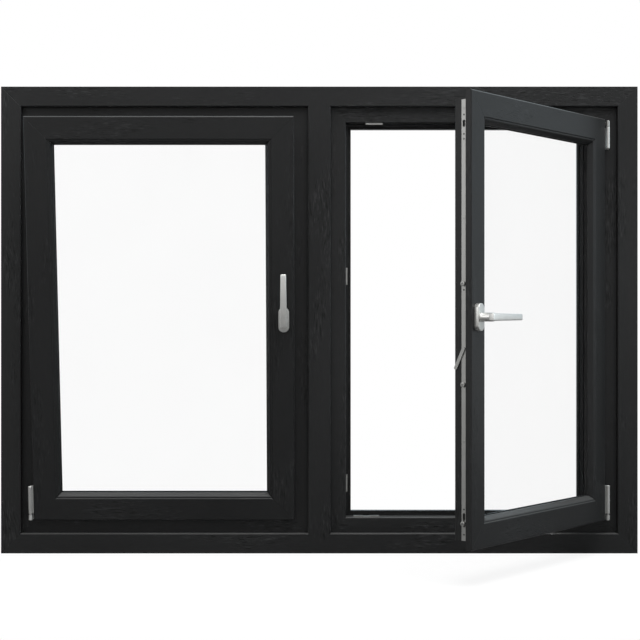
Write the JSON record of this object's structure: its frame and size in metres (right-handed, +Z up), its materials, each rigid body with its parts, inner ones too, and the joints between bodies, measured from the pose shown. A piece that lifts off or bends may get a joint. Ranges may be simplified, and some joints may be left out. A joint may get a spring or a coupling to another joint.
{
  "type": "double casement window",
  "caption": "Anthracite plastic tilt-and-turn window with two sashes, the left one tilted in and the right one turned open, with silver hinges and handles.",
  "frame": {"origin": "middle of the sill's underside, at mid-depth of the frame", "axes": "+X to the right seen from the room, +Y towards the outside, +Z up"},
  "size_m": [1.5, 0.5969, 1.1],
  "materials": {
    "foil": "matte wood grain foil",
    "rubber": "matte",
    "glass": "polished",
    "spacer": "matte",
    "steel": "zinc plated",
    "silver": "satin silver"
  },
  "bodies": {
    "frame": {"frame_head": "foil", "frame_sill": "foil", "frame_left_jamb": "foil", "frame_right_jamb": "foil", "frame_mullion": "foil", "frame_seals": "rubber", "left_strikers": "steel", "left_lower_bearing": "silver", "left_upper_bearing": "silver", "right_strikers": "steel", "right_lower_bearing": "silver", "right_upper_bearing": "silver"},
    "left_sash": {"left_top_rail": "foil", "left_bottom_rail": "foil", "left_hinge_stile": "foil", "left_lock_stile": "foil", "left_beads": "foil", "left_glass": "glass", "left_spacer": "spacer", "left_glazing_gaskets": "rubber", "left_sash_seal": "rubber", "left_edge_strips": "steel", "left_safety_lever": "steel", "left_lower_hinge": "silver", "left_handle_rose": "silver"},
    "left_handle": {"left_handle_lever": "silver"},
    "left_stay": {"left_stay_arm": "steel"},
    "right_sash": {"right_top_rail": "foil", "right_bottom_rail": "foil", "right_hinge_stile": "foil", "right_lock_stile": "foil", "right_beads": "foil", "right_glass": "glass", "right_spacer": "spacer", "right_glazing_gaskets": "rubber", "right_sash_seal": "rubber", "right_edge_strips": "steel", "right_safety_lever": "steel", "right_lower_hinge": "silver", "right_handle_rose": "silver", "right_stay_arm": "steel"},
    "right_handle": {"right_handle_lever": "silver"}
  },
  "joints": [
    {"name": "left_sash_tilt", "type": "hinge", "parent": "frame", "child": "left_sash", "pos_m": [0, -0.042, 0.087], "axis": [1, 0, 0], "range_deg": [-8.6, 0]},
    {"name": "left_stay_swing", "type": "hinge", "parent": "frame", "child": "left_stay", "pos_m": [-0.679, -0.042, 1.004], "axis": [0, 0, -1], "range_deg": [-20.26, 0]},
    {"name": "left_handle_turn", "type": "hinge", "parent": "left_sash", "child": "left_handle", "pos_m": [-0.082, -0.10917, 0.55117], "axis": [0, 0.9888, 0.1495], "range_deg": [-180, 0]},
    {"name": "right_sash_turn", "type": "hinge", "parent": "frame", "child": "right_sash", "pos_m": [0.679, -0.042, 0.087], "axis": [0, 0, 1], "range_deg": [-53.9, 36.1]},
    {"name": "right_handle_turn", "type": "hinge", "parent": "right_sash", "child": "right_handle", "pos_m": [0.32483, -0.5226, 0.556], "axis": [0.808, -0.5892, 0], "range_deg": [-90, 90]}
  ],
  "couplings": [
    {"joint": "left_stay_swing", "follows": "left_sash_tilt", "ratio": 2.3552}
  ]
}
